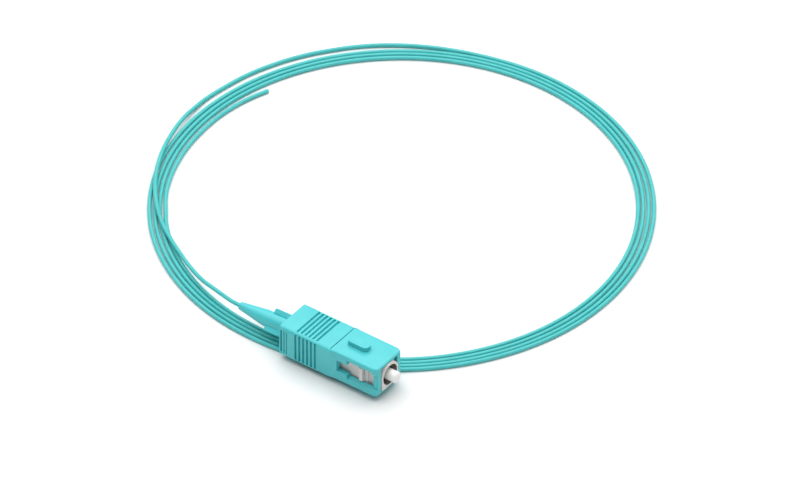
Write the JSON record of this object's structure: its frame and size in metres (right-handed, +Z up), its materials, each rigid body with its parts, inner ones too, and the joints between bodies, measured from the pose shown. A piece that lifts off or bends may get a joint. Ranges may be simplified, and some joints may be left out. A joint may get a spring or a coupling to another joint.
{
  "type": "fibre optic pigtail",
  "caption": "Square push-pull fibre plug with a ceramic ferrule, side windows and tapered boot, on a flat coil of thin buffered fibre that ends cut off.",
  "frame": {"origin": "centre of the ferrule's flat tip face", "axes": "+X out of the mating end along the ferrule, +Z up through the key; the plug lies on its coil, whose underside is the floor"},
  "size_m": [0.1079, 0.1075, 0.0099],
  "materials": {
    "aqua_plastic": "satin moulded",
    "fibre_buffer": "satin extruded",
    "ivory_plastic": "satin moulded",
    "ceramic": "polished",
    "nickel_plate": "plated",
    "spring_steel": "drawn wire"
  },
  "bodies": {
    "plug": {"plug_frame": "ivory_plastic", "spring": "spring_steel", "rear_body": "ivory_plastic", "boot": "aqua_plastic", "fibre_lead": "fibre_buffer", "fibre_coil": "fibre_buffer", "fibre_tail": "fibre_buffer"},
    "shell": {"outer_housing": "aqua_plastic"},
    "ferrule": {"ferrule": "ceramic", "ferrule_flange": "nickel_plate"}
  },
  "joints": [
    {"name": "shell_slide", "type": "slide", "parent": "plug", "child": "shell", "axis": [1, 0, 0], "range_m": [-0.002, 0]},
    {"name": "ferrule_float", "type": "slide", "parent": "plug", "child": "ferrule", "axis": [1, 0, 0], "range_m": [-0.001, 0], "stiffness_N_per_m": 1000, "deforming": ["spring"]}
  ]
}
